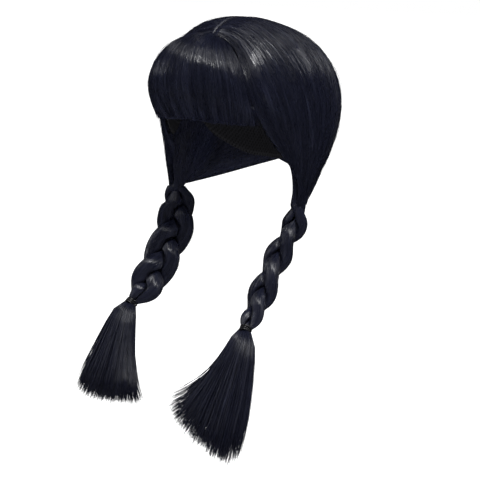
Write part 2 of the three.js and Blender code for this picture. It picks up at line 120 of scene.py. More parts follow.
# closed bodies gathered into one mesh
class Bodies:
    def __init__(self):
        self.points, self.faces, self.uvs, self.count = [], [], [], 0

    # rings is (along, round, 3); across and lean have one value more than a ring has points, since the map
    # is cut open where each ring closes
    def loft(self, rings, across, along, lean=0):
        steps, sides = rings.shape[:2]
        start = self.count
        self.points.append(rings.reshape(-1, 3))
        self.count += steps * sides
        r = np.arange(steps - 1)[:, None]
        k = np.arange(sides)[None, :]
        after = (k + 1) % sides
        quads = np.stack([r * sides + k, r * sides + after, (r + 1) * sides + after, (r + 1) * sides + k], -1)
        self.faces += (quads.reshape(-1, 4) + start).tolist()
        u = np.stack([across[:-1], across[1:], across[1:], across[:-1]], -1)
        v = along[:, None] + np.broadcast_to(lean, across.shape)[None]
        v = np.stack([v[:-1, :-1], v[:-1, 1:], v[1:, 1:], v[1:, :-1]], -1)
        self.uvs.append(np.stack(np.broadcast_arrays(u[None], v), -1).reshape(-1, 2))
        for ring, turned in ((0, True), (steps - 1, False)):
            first = start + ring * sides
            self.points.append(rings[ring].mean(0)[None])
            ends = [[first + i, first + (i + 1) % sides, self.count] for i in range(sides)]
            beyond = along[ring] + (-flowMap["endRun"] if turned else flowMap["endRun"])
            spots = [[[across[i], along[ring]], [across[i + 1], along[ring]], [across[i], beyond]]
                     for i in range(sides)]
            self.count += 1
            self.faces += [end[::-1] for end in ends] if turned else ends
            self.uvs.append(np.array([spot[::-1] for spot in spots] if turned else spots).reshape(-1, 2))
        return self

    # a body that closes on itself; rings is (round the hoop, round its wire, 3)
    def hoop(self, rings, width, length):
        steps, sides = rings.shape[:2]
        r = np.arange(steps)[:, None]
        k = np.arange(sides)[None]
        nextRing, nextSide = (r + 1) % steps, (k + 1) % sides
        quads = np.stack(np.broadcast_arrays(r * sides + k, r * sides + nextSide,
                                             nextRing * sides + nextSide, nextRing * sides + k), -1)
        self.points.append(rings.reshape(-1, 3))
        self.faces += (quads.reshape(-1, 4) + self.count).tolist()
        self.count += steps * sides
        u = np.stack(np.broadcast_arrays(k, k + 1, k + 1, k), -1) / sides * width + 0 * r[..., None]
        v = np.stack(np.broadcast_arrays(r, r, r + 1, r + 1), -1) / steps * length + 0 * k[..., None]
        self.uvs.append(np.stack([u, v], -1).reshape(-1, 2))
        return self

    # many thin hairs at once: lines is (hairs, steps, 3) and radii (hairs, steps)
    def hairs(self, rng, lines, radii, sides=3):
        count, steps = lines.shape[:2]
        way = unit(np.gradient(lines, axis=1))
        side = unit(np.cross(way, unit(rng.normal(0, 1, (count, 1, 3)))))
        other = np.cross(way, side)
        turn = (2 * math.pi * np.arange(sides) / sides)[:, None]
        rings = (lines[:, :, None] + radii[:, :, None, None]
                 * (np.cos(turn) * side[:, :, None] + np.sin(turn) * other[:, :, None]))
        step = np.linalg.norm(np.diff(lines, axis=1), axis=-1)
        length = np.concatenate([np.zeros((count, 1)), np.cumsum(step, 1)], 1) * decimetres
        start = self.count
        self.points.append(rings.reshape(-1, 3))
        self.count += count * steps * sides
        h = np.arange(count)[:, None, None] * steps * sides + start
        r = np.arange(steps - 1)[None, :, None]
        k = np.arange(sides)[None, None, :]
        after = (k + 1) % sides
        quads = np.stack(np.broadcast_arrays(h + r * sides + k, h + r * sides + after,
                                             h + (r + 1) * sides + after, h + (r + 1) * sides + k), -1)
        self.faces += quads.reshape(-1, 4).tolist()
        spread = rng.uniform(0, flowMap["hairSpread"], (count, 1, 1))
        width = flowMap["hairWidth"]
        u = np.broadcast_to(spread + k * width, (count, steps - 1, sides))
        low = np.broadcast_to(length[:, :-1, None], u.shape)
        high = np.broadcast_to(length[:, 1:, None], u.shape)
        corners = [[u, low], [u + width, low], [u + width, high], [u, high]]
        self.uvs.append(np.stack([np.stack(corner, -1) for corner in corners], -2).reshape(-1, 2))
        ringStart = np.arange(count)[:, None] * steps * sides + start
        for ring, turned in ((0, True), (steps - 1, False)):
            ends = ringStart + ring * sides + np.arange(sides)
            self.faces += (ends[:, ::-1] if turned else ends).tolist()
            spots = np.stack([np.repeat(spread[:, 0, 0], sides), np.repeat(length[:, ring], sides)], -1)
            self.uvs.append(spots)
        return self

    def build(self, name, material, mirrored=False):
        points = np.concatenate(self.points) * metres
        if mirrored:
            points = points * [-1, 1, 1]
        mesh = bpy.data.meshes.new(name)
        mesh.from_pydata(points.tolist(), [], self.faces)
        layer = mesh.uv_layers.new(name="flow")
        layer.data.foreach_set("uv", np.concatenate(self.uvs).astype(np.float32).ravel())
        mesh.polygons.foreach_set("use_smooth", np.ones(len(mesh.polygons), bool))
        mesh.materials.append(material)
        if mirrored:
            mesh.flip_normals()
        mesh.update()
        piece = bpy.data.objects.new(name, mesh)
        bpy.context.scene.collection.objects.link(piece)
        print(f"  {name}: {sum(len(face) - 2 for face in self.faces)} triangles")
        return piece


def place(piece, slot, *nodes):
    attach(piece, "root")
    if nodes:
        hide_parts(*nodes)


# hair: its tone and roughness from low to high, how fast the noise of single hairs, tufts and locks changes
# across the flow and along it, and each bump's strength and height in metres
hairFinish = {
    "darkest": (0.0048, 0.0055, 0.0128, 1),
    "lightest": (0.0108, 0.0121, 0.0232, 1),
    "toneRange": (0.75, 1.25),
    "fine": (60, 3),
    "tufts": (33, 7),
    "locks": (13, 0.9),
    "roughness": (0.18, 0.44),
    "roughnessRange": (0.3, 0.7),
    "anisotropy": 0.88,
    "specular": 0.5,
    "fineBump": (0.5, 0.0004),
    "tuftBump": (0.8, 0.0009),
}
plaitFinish = {**hairFinish, "fine": (70, 3), "tufts": (30, 7), "roughness": (0.22, 0.5)}
looseFinish = {
    **hairFinish,
    "fine": (3, 2),
    "tufts": (3, 3),
    "locks": (1.5, 0.5),
    "roughness": (0.25, 0.45),
    "specular": 0.25,
    "fineBump": (0.1, 0.0001),
    "tuftBump": (0.1, 0.0001),
}
tailFinish = {
    **looseFinish,
    "darkest": (0.0055, 0.0064, 0.0145, 1),
    "lightest": (0.0135, 0.015, 0.028, 1),
    "roughness": (0.28, 0.5),
    "specular": 0.4,
}

# net, tape and thread: ribs turned so many degrees from the flow, and the colours of their low and raised
# parts; the darker low colour is painted shade in the grooves between the ribs
twisted = {"turns": (40,), "unevenness": 1, "stops": (0.2, 0.9), "bump": (0.6, 0.0003), "specular": 0.5}
netFinish = {
    "turns": (35, -35),
    "fineness": 60,
    "unevenness": 0.6,
    "low": (0.003, 0.003, 0.004, 1),
    "raised": (0.012, 0.012, 0.015, 1),
    "stops": (0.35, 0.8),
    "bump": (0.8, 0.0005),
    "roughness": 0.85,
    "specular": 0.2,
}
tapeFinish = {
    **twisted,
    "fineness": 90,
    "low": (0.002, 0.002, 0.003, 1),
    "raised": (0.007, 0.007, 0.009, 1),
    "roughness": 0.8,
    "specular": 0.1,
}
# painted glint: the stitch thread's light grey stands in for the pale glints along the parting, on stitches
# that are really there
stitchGlintFinish = {
    **twisted,
    "fineness": 160,
    "low": (0.03, 0.03, 0.034, 1),
    "raised": (0.09, 0.09, 0.1, 1),
    "roughness": 0.6,
}
elasticFinish = {
    **twisted,
    "fineness": 120,
    "low": (0.002, 0.002, 0.003, 1),
    "raised": (0.011, 0.011, 0.013, 1),
    "roughness": 0.3,
}
waveUnit = 6.283  # a fineness over this is the scale of the wave texture


def newMaterial(name):
    material = bpy.data.materials.new(name)
    material.use_nodes = True
    nodes, links = material.node_tree.nodes, material.node_tree.links
    return material, nodes, links, nodes["Principled BSDF"]


# a texture's place on the flow map, with the map stretched or turned
def flowPlace(nodes, links, change, amount):
    uv = nodes.new("ShaderNodeUVMap")
    uv.uv_map = "flow"
    changed = nodes.new("ShaderNodeMapping")
    changed.inputs[change].default_value = amount
    links.new(uv.outputs["UV"], changed.inputs["Vector"])
    return changed.outputs["Vector"]


def flowNoise(nodes, links, scale):
    noise = nodes.new("ShaderNodeTexNoise")
    noise.inputs["Scale"].default_value = 1
    noise.inputs["Detail"].default_value = 2
    links.new(flowPlace(nodes, links, "Scale", (*scale, 1)), noise.inputs["Vector"])
    return noise.outputs["Fac"]


def flowRibs(nodes, links, turn, finish):
    wave = nodes.new("ShaderNodeTexWave")
    wave.inputs["Scale"].default_value = finish["fineness"] / waveUnit
    wave.inputs["Distortion"].default_value = finish["unevenness"]
    links.new(flowPlace(nodes, links, "Rotation", (0, 0, math.radians(turn))), wave.inputs["Vector"])
    return wave.outputs["Fac"]


def joinHeights(nodes, links, operation, heights):
    both = nodes.new("ShaderNodeMath")
    both.operation = operation
    for height, socket in zip(heights, both.inputs):
        links.new(height, socket)
    return both.outputs["Value"]


def colourRamp(nodes, links, value, stops):
    ramp = nodes.new("ShaderNodeValToRGB")
    for stop, (position, colour) in zip(ramp.color_ramp.elements, stops):
        stop.position, stop.color = position, colour
    links.new(value, ramp.inputs["Fac"])
    return ramp.outputs["Color"]


def rangeOf(nodes, links, value, source, target):
    node = nodes.new("ShaderNodeMapRange")
    for socket, number in zip(("From Min", "From Max", "To Min", "To Max"), (*source, *target)):
        node.inputs[socket].default_value = number
    links.new(value, node.inputs["Value"])
    return node.outputs["Result"]


def addBump(nodes, links, height, size, below=None):
    bump = nodes.new("ShaderNodeBump")
    bump.inputs["Strength"].default_value, bump.inputs["Distance"].default_value = size
    links.new(height, bump.inputs["Height"])
    if below:
        links.new(below, bump.inputs["Normal"])
    return bump.outputs["Normal"]


# glossy fibre combed along the flow: fine streaks in tone, gloss and relief, in uneven tufts
def hairMaterial(name, finish):
    material, nodes, links, shader = newMaterial(name)
    fine, tufted, locks = (flowNoise(nodes, links, finish[key]) for key in ("fine", "tufts", "locks"))
    streaks = joinHeights(nodes, links, "ADD", (fine, locks))
    tone = rangeOf(nodes, links, streaks, finish["toneRange"], (0, 1))
    links.new(colourRamp(nodes, links, tone, [(0, finish["darkest"]), (1, finish["lightest"])]),
              shader.inputs["Base Color"])
    links.new(rangeOf(nodes, links, tufted, finish["roughnessRange"], finish["roughness"]),
              shader.inputs["Roughness"])
    normal = addBump(nodes, links, tufted, finish["tuftBump"])
    links.new(addBump(nodes, links, fine, finish["fineBump"], normal), shader.inputs["Normal"])
    tangent = nodes.new("ShaderNodeTangent")
    tangent.direction_type = "UV_MAP"
    tangent.uv_map = "flow"
    links.new(tangent.outputs["Tangent"], shader.inputs["Tangent"])
    shader.inputs["Anisotropic"].default_value = finish["anisotropy"]
    shader.inputs["Specular IOR Level"].default_value = finish["specular"]
    return material


# threads laid side by side along one direction, or crossing along two, with painted shade: the low parts
# between them are coloured darker
def threadMaterial(name, finish):
    material, nodes, links, shader = newMaterial(name)
    heights = [flowRibs(nodes, links, turn, finish) for turn in finish["turns"]]
    height = joinHeights(nodes, links, "MAXIMUM", heights) if len(heights) > 1 else heights[0]
    # painted shade: the colour follows the rib height, darker in the grooves between the threads
    stops = list(zip(finish["stops"], (finish["low"], finish["raised"])))
    links.new(colourRamp(nodes, links, height, stops), shader.inputs["Base Color"])
    links.new(addBump(nodes, links, height, finish["bump"]), shader.inputs["Normal"])
    shader.inputs["Roughness"].default_value = finish["roughness"]
    shader.inputs["Specular IOR Level"].default_value = finish["specular"]
    return material


print("finishes")
hairShell = hairMaterial("hair_shell", hairFinish)
plaitHair = hairMaterial("hair_plait", plaitFinish)
hairLoose = hairMaterial("hair_loose", looseFinish)
tailHair = hairMaterial("hair_tail", tailFinish)
capNet = threadMaterial("cap_net", netFinish)
tapeCloth = threadMaterial("parting_tape", tapeFinish)
stitchGlintThread = threadMaterial("stitch_thread_glint", stitchGlintFinish)
tieElastic = threadMaterial("tie_elastic", elasticFinish)


hollowMiddle = np.array([0, 0, -hollow["dome"]])


# a point of the hollow, or of a surface lying grow outside it
def hollowPoint(turn, fall, grow):
    widest = math.pi / 2
    below = np.maximum(0, fall - widest)
    reach = (hollow["neckLevel"] - hollow["dome"]) / hollow["dome"]
    share = np.where(below > 0, 1 - hollow["neckTaper"] * (below / reach) ** 2,
                     np.sin(np.minimum(fall, widest)))
    height = np.where(below > 0, -hollow["dome"] * (1 + below),
                      grow - (hollow["dome"] + grow) * (1 - np.cos(np.minimum(fall, widest))))
    depth = np.where(np.cos(turn) > 0, hollow["front"], hollow["back"])
    return xyz((hollow["halfWidth"] + grow) * share * np.sin(turn),
               -(depth + grow) * share * np.cos(turn), height)


# how far a point is outside the hollow and the cap, below 0 inside them
def outsideCap(p, grow=capWall + capToHair):
    depth = np.where(p[..., 1] < 0, hollow["front"], hollow["back"]) + grow
    girth = np.hypot(p[..., 0] / (hollow["halfWidth"] + grow), p[..., 1] / depth)
    up = (p[..., 2] + hollow["dome"]) / (hollow["dome"] + grow)
    reach = hollow["neckLevel"] - hollow["dome"]
    below = clamp(-(p[..., 2] + hollow["dome"]) / reach)
    return np.where(up > 0, np.hypot(girth, up) - 1, girth - (1 - hollow["neckTaper"] * below ** 2))


# moves inner points back towards their outer ones until they are clear of the cap
def clearOfCap(outer, inner, halvings=16):
    low, high = np.zeros(outer.shape[:-1]), np.ones(outer.shape[:-1])
    inside = outsideCap(inner) < 0
    for _ in range(halvings):
        middle = (low + high) / 2
        clear = outsideCap(mix(outer, inner, middle[..., None])) > 0
        low = np.where(clear, middle, low)
        high = np.where(clear, high, middle)
    return np.where(inside[..., None], mix(outer, inner, low[..., None]), inner)


# the outward direction of a surface given by a function of two shares
def outward(surface, a, b, step=0.004):
    a0, a1 = clamp(a - step, surface.low, 1), clamp(a + step, surface.low, 1)
    b0, b1 = clamp(b - step), clamp(b + step)
    n = unit(np.cross(surface(a1, b) - surface(a0, b), surface(a, b1) - surface(a, b0)))
    away = surface(a, b) - hollowMiddle
    return np.where(np.sum(n * away, -1, keepdims=True) < 0, -n, n)


# uneven heights of tufts: so many across, changing so many times along
def tufts(rng, across, along, count, changes):
    heights = rng.normal(0, 1, (changes + 2, count + 2))
    a, b = clamp(across) * count, clamp(along) * changes
    i, j = np.floor(a).astype(int), np.floor(b).astype(int)
    s, t = smooth(0, 1, a - i), smooth(0, 1, b - j)
    return mix(mix(heights[j, i], heights[j, i + 1], s), mix(heights[j + 1, i], heights[j + 1, i + 1], s), t)


combing = {"drift": 0.01, "waves": (9, 5), "sway": (0.5, 1.3)}


# combed relief: broad locks, tufts and fine hairs that all run along the flow
def combed(rng, across, along, spec):
    drift = combing["drift"] * waves(rng, across, along, *combing["waves"])
    total = 0
    for height, count, changes in spec["relief"]:
        swayed = across + drift * rng.uniform(*combing["sway"])
        total = total + height * tufts(rng, swayed, along, count, changes)
    return total


# loose hairs over a surface; starts and runs are shares of the flow
stray = {
    "start": (-0.15, 0.5),
    "run": (0.35, 0.95),
    "lowest": 0.01,
    "wander": 0.3,
    "bends": (2, 7),
    "phase": (0, 6),
    "liftShape": 1.2,
    "clear": 0.2,
}


# each hair follows the flow, a little lifted and a little astray; a few stand off further
def strayHairs(rng, surface, spec):
    count, steps = spec["looseHairs"], spec["looseSteps"]
    start = rng.uniform(*stray["start"], (count, 1))
    end = start + rng.uniform(*stray["run"], (count, 1))
    share = np.linspace(0, 1, steps)[None]
    path = clamp(mix(start, end, share), stray["lowest"], spec["looseEnd"])
    spread = rng.uniform(surface.low, 1, (count, 1)) + rng.normal(0, spec["looseDrift"], (count, 1)) * share
    bends = share * rng.uniform(*stray["bends"], (count, 1)) + rng.uniform(*stray["phase"], (count, 1))
    where = clamp(spread + stray["wander"] * spec["looseDrift"] * np.sin(bends), surface.low, 1)
    height = rng.gamma(stray["liftShape"], spec["looseLift"], (count, 1))
    height = height * np.where(rng.uniform(0, 1, (count, 1)) < spec["flyaways"], spec["flyawayLift"], 1)
    lift = height * np.sin(math.pi * share) + stray["clear"]
    lines = surface(where, path) + outward(surface, where, path) * lift[..., None]
    return lines, rng.uniform(*spec["looseRadius"], (count, 1)) * hairTaper(share)


# the side hair's flows: at, then back and down of the start, and across, back and down of over, side and
# under, which pull the curve along
flows = np.array([
    [0.00, -0.33, -0.020, 0.59, -0.17, 0.060, 0.56, -1.14, 0.42, 0.95, 0.30, 0.71],
    [0.12, -0.24, -0.060, 0.62, -0.18, -0.080, 1.07, -0.48, 0.34, 0.89, 0.00, 0.72],
    [0.28, -0.04, -0.105, 0.70, -0.08, -0.115, 1.34, 0.07, 0.33, 0.90, 0.02, 0.75],
    [0.45, 0.32, -0.085, 0.62, 0.33, -0.110, 1.36, 0.45, 0.30, 0.83, 0.16, 0.74],
    [0.63, 0.75, 0.030, 0.84, 0.73, 0.020, 0.99, 1.06, 0.56, 0.76, 0.25, 0.76],
    [0.81, 1.03, 0.370, 0.61, 1.06, 0.480, 0.68, 0.84, 0.69, 0.82, 0.32, 0.86],
    [1.00, 0.74, 0.810, 0.49, 0.78, 0.900, 0.70, 0.38, 0.95, 0.76, 0.26, 0.95],
])
# where the side hair gathers to start the plait
root = {"out": 88, "behind": 3.5, "raised": 8, "halfWidth": 9, "halfDepth": 9}
rootCentre = np.array([root["out"], root["behind"], root["raised"] - hairLength])

sideHair = {
    "columns": 620,
    "rows": 64,
    "innerEvery": 10,
    "flowWidth": 2.6,
    "flowLength": 2.6,
    "hairRun": 330,
    "partHalf": 0.9,
    "layer": 62,
    "lowLayer": 30,
    "lowFrom": 0.3,
    "lowTo": 0.75,
    "gatherFrom": 0.5,
    "edge": 8,
    "relief": [(0.22, 20, 3), (0.13, 60, 9), (0.11, 150, 16), (0.08, 300, 18)],
    "reliefFrom": 0.05,
    "reliefEdge": 0.015,
    "calmFrom": 0.6,
    "calmRelief": 0.4,
    "looseHairs": 900,
    "looseSteps": 13,
    "looseEnd": 0.995,
    "looseDrift": 0.012,
    "looseLift": 0.25,
    "looseRadius": (0.09, 0.22),
    "flyaways": 0.04,
    "flyawayLift": 4,
    "frontSink": 3.2,
    "frontReach": 0.06,
    "sinkFrom": (0.02, 0.12),
    "sinkUntil": (0.5, 0.65),
    "frontLean": -0.42,
    "leanUntil": (0.04, 0.2),
    "pinch": {"side_hair_left": 0, "side_hair_right": 6.5},
    "pinchFrom": (0.25, 0.42),
    "pinchUntil": (0.7, 0.92),
    "pinchAcross": (0.3, 0.55),
    "sleeve": 16,
    "sleeveSteps": 6,
    "sleeveEnd": 0.5,
    "sleeveCurve": 1.3,
}


def rootPoint(at):
    angle = math.pi * at
    return rootCentre + xyz(root["halfDepth"] * np.sin(angle), -root["halfWidth"] * np.cos(angle), 0 * at)


def sidePoint(at, along):
    at, along = np.broadcast_arrays(np.asarray(at, float), along)
    startBack, startDown, *pulls = [readTable(flows, column, at) for column in range(1, flows.shape[1])]
    start = xyz(sideHair["partHalf"], startBack * hairBack, -startDown * hairLength)
    over, side, under = (xyz(pulls[k] * hairHalfWidth, pulls[k + 1] * hairBack, -pulls[k + 2] * hairLength)
                         for k in (0, 3, 6))
    pinched = (smooth(*sideHair["pinchFrom"], along) * (1 - smooth(*sideHair["pinchUntil"], along))
               * (1 - smooth(*sideHair["pinchAcross"], at)))
    line = bezier([start, over, side, under, rootPoint(at)], along)
    return line - xyz(sidePoint.pinch * pinched, 0, 0)


sidePoint.low = 0
sidePoint.pinch = 0


def sideInner(outer, at, along):
    full = np.sin(math.pi * at)
    layer = mix(sideHair["edge"], mix(sideHair["layer"], sideHair["lowLayer"],
                                      smooth(sideHair["lowFrom"], sideHair["lowTo"], along)),
                np.sqrt(np.maximum(full, 0)))
    inwards = unit(hollowMiddle - outer) * layer[..., None]
    inwards[..., 0] = np.maximum(inwards[..., 0], partHalfWidth - outer[..., 0])
    closing = xyz(-2 * root["halfDepth"] * full, 0, 0)
    inner = outer + mix(inwards, closing, smooth(sideHair["gatherFrom"], 1, along)[..., None])
    return clearOfCap(outer, inner)


def makeSideHair(name, seed, mirrored):
    rng = np.random.default_rng(seed)
    sidePoint.pinch = sideHair["pinch"][name]
    at = np.linspace(0, 1, sideHair["columns"] + 1)[None, :]
    along = np.linspace(0, 1, sideHair["rows"] + 1)[:, None]
    at, along = np.broadcast_arrays(at, along)
    outer = sidePoint(at, along)
    edge = sideHair["reliefEdge"]
    room = (smooth(0, sideHair["reliefFrom"], along)
            * mix(1, sideHair["calmRelief"], smooth(sideHair["calmFrom"], 1, along))
            * smooth(0, edge, at) * smooth(0, edge, 1 - at))
    sunk = ((1 - smooth(0, sideHair["frontReach"], at)) * smooth(*sideHair["sinkFrom"], along)
            * (1 - smooth(*sideHair["sinkUntil"], along)))
    lift = combed(rng, at, along, sideHair) * room - sideHair["frontSink"] * sunk
    outer = outer + outward(sidePoint, at, along) * lift[..., None]
    every, width = sideHair["innerEvery"], sideHair["flowWidth"]
    inner = sideInner(outer, at, along)[:, ::-1]
    rings = np.concatenate([outer, inner[:, ::every]], 1)
    # below the gather the hair runs on a little, and narrows in under the plait's first turns
    step = np.linspace(0, 1, sideHair["sleeveSteps"] + 1)[1:, None, None]
    middle = rings[-1].mean(0)
    narrowed = mix(1, sideHair["sleeveEnd"], step ** sideHair["sleeveCurve"])
    sleeve = middle + (rings[-1] - middle) * narrowed - [0, 0, 1] * step * sideHair["sleeve"]
    rings = np.concatenate([rings, sleeve])
    length = np.concatenate([along[:, 0], 1 + step[:, 0, 0] * sideHair["sleeve"] / sideHair["hairRun"]])
    across = np.concatenate([at[0] * width, width + (1 - at[0, ::every]) * width, [2 * width]])
    # at the front edge the finish is combed a little across the flow
    slope = sideHair["frontLean"] * (1 - smooth(*sideHair["leanUntil"], at[0]))
    lean = np.zeros_like(across)
    lean[:len(slope)] = np.cumsum(slope) * width / len(slope)
    lean[len(slope):] = lean[len(slope) - 1]
    body = Bodies().loft(rings, across, length * sideHair["flowLength"], lean)
    place(body.build(name + "_combed", hairShell, mirrored), "hair", name)
    lines, radii = strayHairs(rng, sidePoint, sideHair)
    place(Bodies().hairs(rng, lines, radii).build(name + "_loose", hairLoose, mirrored), "hair")


print("side hair")
makeSideHair("side_hair_left", 11, False)
makeSideHair("side_hair_right", 12, True)

fringe = {
    "length": 84,
    "arch": 8,
    "archTurns": 1.4,
    "halfAngle": 57,
    "standOff": 4,
    "reach": 45,
    "apexHalfWidth": 13,
    "apexHeight": 4,
    "apexFall": 8,
    "topHalfWidth": 56,
    "topFront": 114,
    "topHeight": 16,
    "topEdgeHalfWidth": 43,
    "topEdgeFront": 60,
    "bulgeHalfWidth": 118,
    "bulgeFront": 146,
    "bulgeDrop": 36,
    "bulgeEdgeHalfWidth": 77,
    "bulgeEdgeFront": 124,
    "bulgeEdgeDrop": 50,
    "middle": 64,
    "thickness": 14,
    "edgeThickness": 6,
    "tipThickness": 3,
    "thinFrom": 0.45,
    "columns": 460,
    "rows": 44,
    "innerEvery": 10,
    "flowWidth": 2.4,
    "flowLength": 1.3,
    "relief": [(0.25, 12, 3), (0.15, 48, 8), (0.12, 120, 14), (0.08, 230, 16)],
    "reliefFrom": 0.1,
    "edgeSink": 2.6,
    "edgeFrom": 0.93,
    "sinkFrom": (0.05, 0.2),
    "tipsEnd": [(1.5, 24), (1.0, 70), (0.7, 190)],
    "tipsFrom": 0.75,
    "looseHairs": 800,
    "looseSteps": 11,
    "looseEnd": 1,
    "looseDrift": 0.018,
    "looseLift": 0.25,
    "looseRadius": (0.09, 0.22),
    "flyaways": 0.03,
    "flyawayLift": 3.5,
}
# the fine ends below the fringe's cut edge
fringeTips = {
    "hairs": 900,
    "steps": 5,
    "start": 0.84,
    "drift": 0.012,
    "depth": 3,
    "drop": 1.5,
    "longer": (2.0, 1.2),
    "sway": 1.2,
    "radius": (0.18, 0.36),
    "point": 1.02,
}


def fringePoint(side, along):
    side, along = np.broadcast_arrays(np.asarray(side, float), along)
    turn = math.radians(fringe["halfAngle"]) * side
    edge = side ** 2
    corner = edge ** 2
    out = capWall + capToHair + fringe["standOff"]
    arch = fringe["arch"] * np.sin(fringe["archTurns"] * np.abs(turn)) ** 2
    apex = xyz(fringe["apexHalfWidth"] * side, -fringe["reach"],
               fringe["apexHeight"] - fringe["apexFall"] * edge)
    top = xyz(mix(fringe["topHalfWidth"], fringe["topEdgeHalfWidth"], edge) * np.sin(turn),
              mix(-fringe["topFront"], -fringe["topEdgeFront"], edge), fringe["topHeight"] * (1 - edge))
    bulge = xyz(mix(fringe["bulgeHalfWidth"], fringe["bulgeEdgeHalfWidth"], corner) * np.sin(turn),
                -mix(fringe["bulgeFront"], fringe["bulgeEdgeFront"], corner) * np.cos(turn),
                -mix(fringe["bulgeDrop"], fringe["bulgeEdgeDrop"], edge))
    ends = xyz((hollow["halfWidth"] + out) * np.sin(turn), -(hollow["front"] + out) * np.cos(turn),
               -fringe["length"] - arch)
    return bezier([apex, top, bulge, ends], along)


fringePoint.low = -1
fringeMiddle = np.array([0, 0, -fringe["middle"]])


def addFringeTips(rng, loose):
    count = fringeTips["hairs"]
    share = np.linspace(0, 1, fringeTips["steps"])[None]
    drift = rng.uniform(-1, 1, (count, 1)) + rng.normal(0, fringeTips["drift"], (count, 1)) * share
    base = fringePoint(clamp(drift, -1, 1), mix(fringeTips["start"], 1, share))
    lines = base + unit(fringeMiddle - base) * rng.uniform(0, fringeTips["depth"], (count, 1))[..., None]
    lines[..., 2] -= rng.gamma(*fringeTips["longer"], (count, 1)) * share ** 3 + fringeTips["drop"] * share
    lines[..., 0] += rng.normal(0, fringeTips["sway"], (count, 1)) * share ** 2
    loose.hairs(rng, lines, rng.uniform(*fringeTips["radius"], (count, 1)) * (fringeTips["point"] - share))


def makeFringe(seed):
    rng = np.random.default_rng(seed)
    side = np.linspace(-1, 1, fringe["columns"] + 1)[None, :]
    along = np.linspace(0, 1, fringe["rows"] + 1)[:, None]
    side, along = np.broadcast_arrays(side, along)
    spot = (side + 1) / 2
    outer = fringePoint(side, along)
    sunk = smooth(fringe["edgeFrom"], 1, np.abs(side)) * smooth(*fringe["sinkFrom"], along)
    lift = combed(rng, spot, along, fringe) * smooth(0, fringe["reliefFrom"], along)
    lift = lift - fringe["edgeSink"] * sunk
    outer = outer + outward(fringePoint, side, along) * lift[..., None]
    # uneven tips: each lock ends at its own height
    tips = sum(height * tufts(rng, spot, 0 * along, count, 1) for height, count in fringe["tipsEnd"])
    outer[..., 2] -= tips * smooth(fringe["tipsFrom"], 1, along)
    thickness = mix(fringe["thickness"], fringe["edgeThickness"], side ** 4)
    thickness = mix(thickness, fringe["tipThickness"], smooth(fringe["thinFrom"], 1, along))
    inner = clearOfCap(outer, outer + unit(fringeMiddle - outer) * thickness[..., None])[:, ::-1]
    every, width = fringe["innerEvery"], fringe["flowWidth"]
    rings = np.concatenate([outer, inner[:, ::every]], 1)
    across = np.concatenate([spot[0] * width, width + (1 - spot[0, ::every]) * width, [2 * width]])
    body = Bodies().loft(rings, across, along[:, 0] * fringe["flowLength"])
    place(body.build("fringe_combed", hairShell), "hair", "fringe")
    lines, radii = strayHairs(rng, fringePoint, fringe)
    loose = Bodies().hairs(rng, lines, radii)
    addFringeTips(rng, loose)
    place(loose.build("fringe_loose", hairLoose), "hair")


print("fringe")
makeFringe(21)

plait = {
    "length": 155,
    "strands": 3,
    "weave": 6.4,
    "halfDepth": 9.9,
    "gap": 0.2,
    "fullnessBelow": 0.93,
    "uprightFor": 0.2,
    "asideBy": 0.12,
    "endFrom": 0.85,
    "sides": 60,
    "steps": 130,
    "flowWidth": 0.75,
    "flowLength": 1.8,
    "relief": [(0.35, 7, 8), (0.2, 18, 12), (0.1, 30, 16)],
    "seamEase": 8,
    "looseHairs": 160,
    "looseSteps": 13,
    "looseRun": (24, 40),
    "looseDrift": 2.5,
    "looseLift": (1.2, 0.35),
    "looseClear": 0.15,
    "looseRadius": (0.12, 0.28),
}
# how each plait is laid: which way its flat face is turned, its pitch, where its first turn starts, how full
# it is, how far its strands swing, half a strand's width, and how far its middle lies aside
plaits = {
    "left": {"twist": -30, "pitch": 140, "start": 0.193, "full": 0.82, "swing": 9, "halfWidth": 12.6,
             "aside": (0.2, 0.1, 0)},
    "right": {"twist": -50, "pitch": 138, "start": 0.305, "full": 1.1, "swing": 9.8, "halfWidth": 11.9,
              "aside": (-1, 0.6, 0)},
}
# the plait's middle line in shares of its length: in towards the middle, forward, down
plaitRoute = np.array([[0, 0, 0], [0.015, 0.02, 0.1], [0.058, 0.12, 0.26], [0.065, 0.3, 0.465],
                       [0.058, 0.48, 0.66], [0.04, 0.626, 0.75]])
# how thick the plait is along its line
plaitTaper = np.array([[0, 0.5], [0.12, 0.92], [0.3, 1], [0.58, 0.98], [0.86, 0.9], [1, 0.32]])


# an even walk along a smooth curve through points, with its directions and its length
def smoothLine(points, steps, fineness=120):
    first, last = 2 * points[0] - points[1], 2 * points[-1] - points[-2]
    p = np.vstack([first, points, last])
    parts = []
    t = np.linspace(0, 1, fineness)[:, None]
    for i in range(1, len(p) - 2):
        d = [np.sum((p[k + 1] - p[k]) ** 2) ** 0.25 for k in (i - 1, i, i + 1)]
        leave = d[1] * ((p[i] - p[i - 1]) / d[0] - (p[i + 1] - p[i - 1]) / (d[0] + d[1])
                        + (p[i + 1] - p[i]) / d[1])
        reach = d[1] * ((p[i + 1] - p[i]) / d[1] - (p[i + 2] - p[i]) / (d[1] + d[2])
                        + (p[i + 2] - p[i + 1]) / d[2])
        a, b = p[i], p[i + 1]
        parts.append(a + leave * t + (-3 * a + 3 * b - 2 * leave - reach) * t ** 2
                     + (2 * a - 2 * b + leave + reach) * t ** 3)
    line = np.vstack(parts)
    far = np.concatenate([[0], np.cumsum(np.linalg.norm(np.diff(line, axis=0), axis=1))])
    even = np.linspace(0, far[-1], steps)
    walk = np.stack([np.interp(even, far, line[:, k]) for k in range(3)], 1)
    return walk, unit(np.gradient(walk, axis=0)), far[-1]


plaitStart = np.array([rootCentre[0], rootCentre[1], -hairLength - clearance])
route = plaitStart - plaitRoute * plait["length"]
route[0, 2] += root["raised"]
plaitWalk, plaitWay, plaitLength = smoothLine(route, plait["steps"] + 1)


